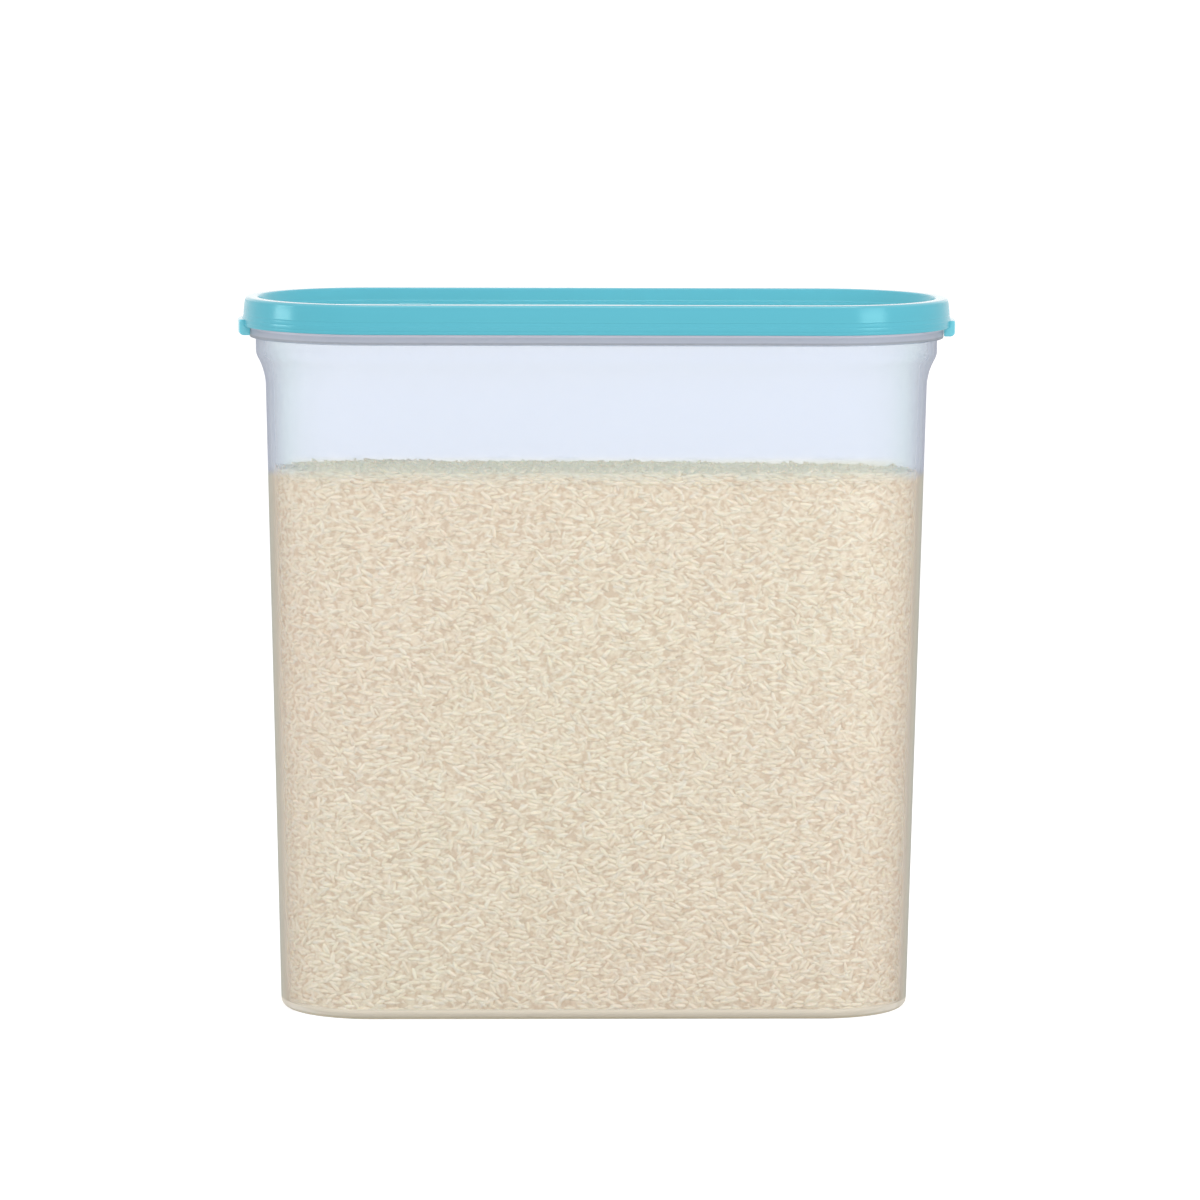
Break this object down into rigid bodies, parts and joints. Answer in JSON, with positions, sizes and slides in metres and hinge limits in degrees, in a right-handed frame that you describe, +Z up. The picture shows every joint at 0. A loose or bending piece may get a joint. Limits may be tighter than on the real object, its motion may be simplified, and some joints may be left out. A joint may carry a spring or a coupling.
{
  "type": "rice bin with flip lid",
  "caption": "Tall oblong storage bin for dry rice, with a see-through body, a press-on lid with pull tabs at its ends, and a hinged pour door in the lid's recess.",
  "frame": {"origin": "centre of the base, on the surface that the bin stands on", "axes": "+X along the bin's long side, +Y towards the back where the door's hinge is, +Z up"},
  "size_m": [0.331, 0.1208, 0.3306],
  "materials": {
    "bin_plastic": "satin",
    "rice": "matte",
    "lid_plastic": "satin",
    "seal_rubber": "satin",
    "pin_plastic": "satin"
  },
  "bodies": {
    "bin": {"bin_body": "bin_plastic", "rice_fill": "rice"},
    "lid": {"lid_shell": "lid_plastic", "lid_seal": "seal_rubber", "hinge_pin_left": "pin_plastic", "hinge_pin_right": "pin_plastic"},
    "door": {"flip_door": "lid_plastic", "door_seal": "seal_rubber"}
  },
  "joints": [
    {"name": "lid_lift", "type": "slide", "parent": "bin", "child": "lid", "axis": [0, 0, 1], "range_m": [0, 0.15]},
    {"name": "door_hinge", "type": "hinge", "parent": "lid", "child": "door", "pos_m": [-0.084, 0.017, 0.3225], "axis": [-1, 0, 0], "range_deg": [0, 115]}
  ]
}
